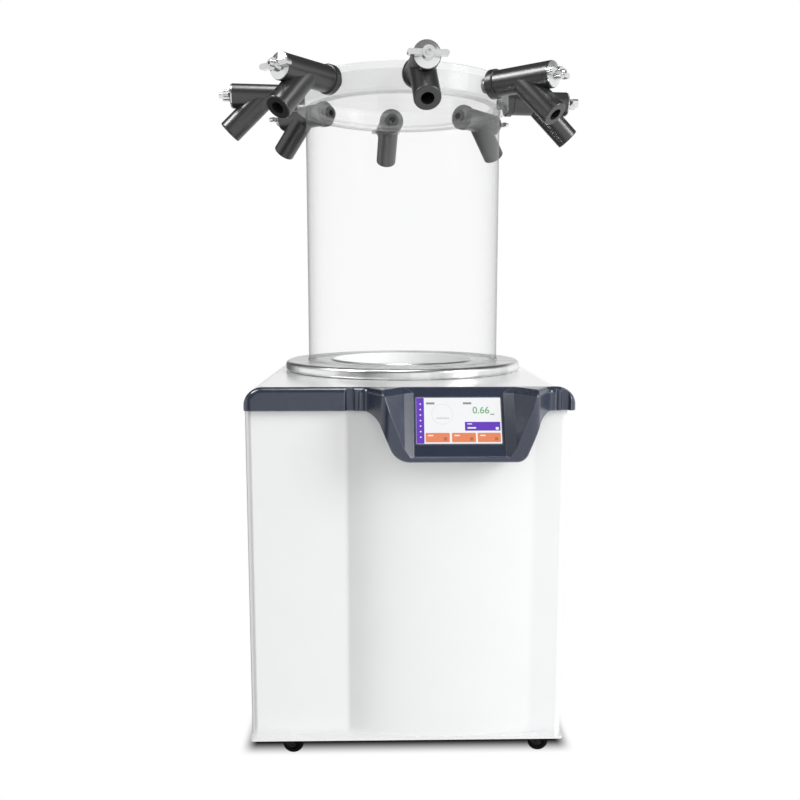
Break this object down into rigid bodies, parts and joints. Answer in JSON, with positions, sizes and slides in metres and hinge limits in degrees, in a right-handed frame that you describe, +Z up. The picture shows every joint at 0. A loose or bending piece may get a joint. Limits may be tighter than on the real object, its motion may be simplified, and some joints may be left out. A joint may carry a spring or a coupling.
{
  "type": "freeze dryer",
  "caption": "Floor-standing laboratory freeze dryer: white cabinet on casters, navy console with display, clear chamber and manifold of black flask valves.",
  "frame": {"origin": "on the floor under the axis of the drying chamber", "axes": "+Z up, +X to the operator's right, the operator and the console at -Y"},
  "size_m": [0.614, 0.686, 1.0595],
  "materials": {
    "white_enamel": "smooth powder coat",
    "frame_paint": "matt primer",
    "navy_plastic": "moulded, half gloss",
    "display_glass": "lit display behind glass",
    "zinc_steel": "zinc plated",
    "stainless": "polished stainless steel",
    "copper": "bright copper tube",
    "foam": "closed-cell foam",
    "silicone": "translucent silicone",
    "clear_acrylic": "clear cast acrylic, polished",
    "black_paint": "satin black",
    "black_rubber": "moulded rubber, satin",
    "fin_aluminium": "mill finish fins",
    "fan_plastic": "moulded nylon",
    "brass_fitting": "machined brass",
    "lever_plastic": "red vinyl grip",
    "black_plastic": "moulded",
    "board_green": "circuit board and its carrier",
    "key_plastic": "glossy moulded plastic, slightly milky"
  },
  "bodies": {
    "cabinet": {"base_plate": "white_enamel", "frame": "frame_paint", "front_panel": "white_enamel", "left_panel": "white_enamel", "right_panel": "white_enamel", "rear_panel": "white_enamel", "top_cover": "white_enamel", "front_bezel": "navy_plastic", "screen_module": "display_glass", "panel_screws": "zinc_steel", "trap_pot": "stainless", "trap_floor": "stainless", "trap_plate": "stainless", "evaporator_coil": "copper", "insulation_jacket": "foam", "base_gasket": "silicone", "chamber_cylinder": "clear_acrylic", "top_gasket": "silicone", "manifold_drum": "clear_acrylic", "compressor": "black_paint", "compressor_grommets": "black_rubber", "condenser": "fin_aluminium", "fan_shroud": "zinc_steel", "fan_motor": "black_paint", "filter_drier": "copper", "refrigerant_lines": "copper", "vacuum_pipe": "stainless", "drain_pipe": "stainless", "drain_valve": "brass_fitting", "power_inlet": "black_plastic", "control_board": "board_green", "caster_plates": "black_paint", "valve_body_1": "black_rubber", "valve_body_2": "black_rubber", "valve_body_3": "black_rubber", "valve_body_4": "black_rubber", "valve_body_5": "black_rubber", "valve_body_6": "black_rubber", "valve_body_7": "black_rubber", "valve_body_8": "black_rubber"},
    "key_1": {"valve_key_1": "key_plastic"},
    "key_2": {"valve_key_2": "key_plastic"},
    "key_3": {"valve_key_3": "key_plastic"},
    "key_4": {"valve_key_4": "key_plastic"},
    "key_5": {"valve_key_5": "key_plastic"},
    "key_6": {"valve_key_6": "key_plastic"},
    "key_7": {"valve_key_7": "key_plastic"},
    "key_8": {"valve_key_8": "key_plastic"},
    "caster_1": {"caster_fork_1": "black_paint"},
    "wheel_1": {"caster_wheel_1": "black_plastic"},
    "caster_2": {"caster_fork_2": "black_paint"},
    "wheel_2": {"caster_wheel_2": "black_plastic"},
    "caster_3": {"caster_fork_3": "black_paint"},
    "wheel_3": {"caster_wheel_3": "black_plastic"},
    "caster_4": {"caster_fork_4": "black_paint"},
    "wheel_4": {"caster_wheel_4": "black_plastic"},
    "fan": {"fan_rotor": "fan_plastic"},
    "lever": {"drain_lever": "lever_plastic"},
    "rocker": {"power_rocker": "black_plastic"}
  },
  "joints": [
    {"name": "key_1_turn", "type": "hinge", "parent": "cabinet", "child": "key_1", "pos_m": [0.02396, -0.24885, 1.037], "axis": [0.0958, -0.9954, 0], "continuous": true},
    {"name": "key_2_turn", "type": "hinge", "parent": "cabinet", "child": "key_2", "pos_m": [0.19291, -0.15902, 1.037], "axis": [0.7716, -0.6361, 0], "continuous": true},
    {"name": "key_3_turn", "type": "hinge", "parent": "cabinet", "child": "key_3", "pos_m": [0.24885, 0.02396, 1.037], "axis": [0.9954, 0.0958, 0], "continuous": true},
    {"name": "key_4_turn", "type": "hinge", "parent": "cabinet", "child": "key_4", "pos_m": [0.15902, 0.19291, 1.037], "axis": [0.6361, 0.7716, 0], "continuous": true},
    {"name": "key_5_turn", "type": "hinge", "parent": "cabinet", "child": "key_5", "pos_m": [-0.02396, 0.24885, 1.037], "axis": [-0.0958, 0.9954, 0], "continuous": true},
    {"name": "key_6_turn", "type": "hinge", "parent": "cabinet", "child": "key_6", "pos_m": [-0.19291, 0.15902, 1.037], "axis": [-0.7716, 0.6361, 0], "continuous": true},
    {"name": "key_7_turn", "type": "hinge", "parent": "cabinet", "child": "key_7", "pos_m": [-0.24885, -0.02396, 1.037], "axis": [-0.9954, -0.0958, 0], "continuous": true},
    {"name": "key_8_turn", "type": "hinge", "parent": "cabinet", "child": "key_8", "pos_m": [-0.15902, -0.19291, 1.037], "axis": [-0.6361, -0.7716, 0], "continuous": true},
    {"name": "caster_1_swivel", "type": "hinge", "parent": "cabinet", "child": "caster_1", "pos_m": [-0.191, -0.25, 0.04], "axis": [0, 0, 1], "continuous": true},
    {"name": "caster_1_roll", "type": "hinge", "parent": "caster_1", "child": "wheel_1", "pos_m": [-0.1755, -0.25, 0.016], "axis": [0, 1, 0], "continuous": true},
    {"name": "caster_2_swivel", "type": "hinge", "parent": "cabinet", "child": "caster_2", "pos_m": [0.191, -0.25, 0.04], "axis": [0, 0, 1], "continuous": true},
    {"name": "caster_2_roll", "type": "hinge", "parent": "caster_2", "child": "wheel_2", "pos_m": [0.2065, -0.25, 0.016], "axis": [0, 1, 0], "continuous": true},
    {"name": "caster_3_swivel", "type": "hinge", "parent": "cabinet", "child": "caster_3", "pos_m": [-0.191, 0.25, 0.04], "axis": [0, 0, 1], "continuous": true},
    {"name": "caster_3_roll", "type": "hinge", "parent": "caster_3", "child": "wheel_3", "pos_m": [-0.1755, 0.25, 0.016], "axis": [0, 1, 0], "continuous": true},
    {"name": "caster_4_swivel", "type": "hinge", "parent": "cabinet", "child": "caster_4", "pos_m": [0.191, 0.25, 0.04], "axis": [0, 0, 1], "continuous": true},
    {"name": "caster_4_roll", "type": "hinge", "parent": "caster_4", "child": "wheel_4", "pos_m": [0.2065, 0.25, 0.016], "axis": [0, 1, 0], "continuous": true},
    {"name": "fan_spin", "type": "hinge", "parent": "cabinet", "child": "fan", "pos_m": [0.092, 0.21, 0.15], "axis": [0, 1, 0], "continuous": true},
    {"name": "drain_lever_turn", "type": "hinge", "parent": "cabinet", "child": "lever", "pos_m": [0, 0.3092, 0.3218], "axis": [0, 0, 1], "range_deg": [0, 90]},
    {"name": "power_rocker_tip", "type": "hinge", "parent": "cabinet", "child": "rocker", "pos_m": [-0.11, 0.29, 0.394], "axis": [1, 0, 0], "range_deg": [0, 12]}
  ]
}
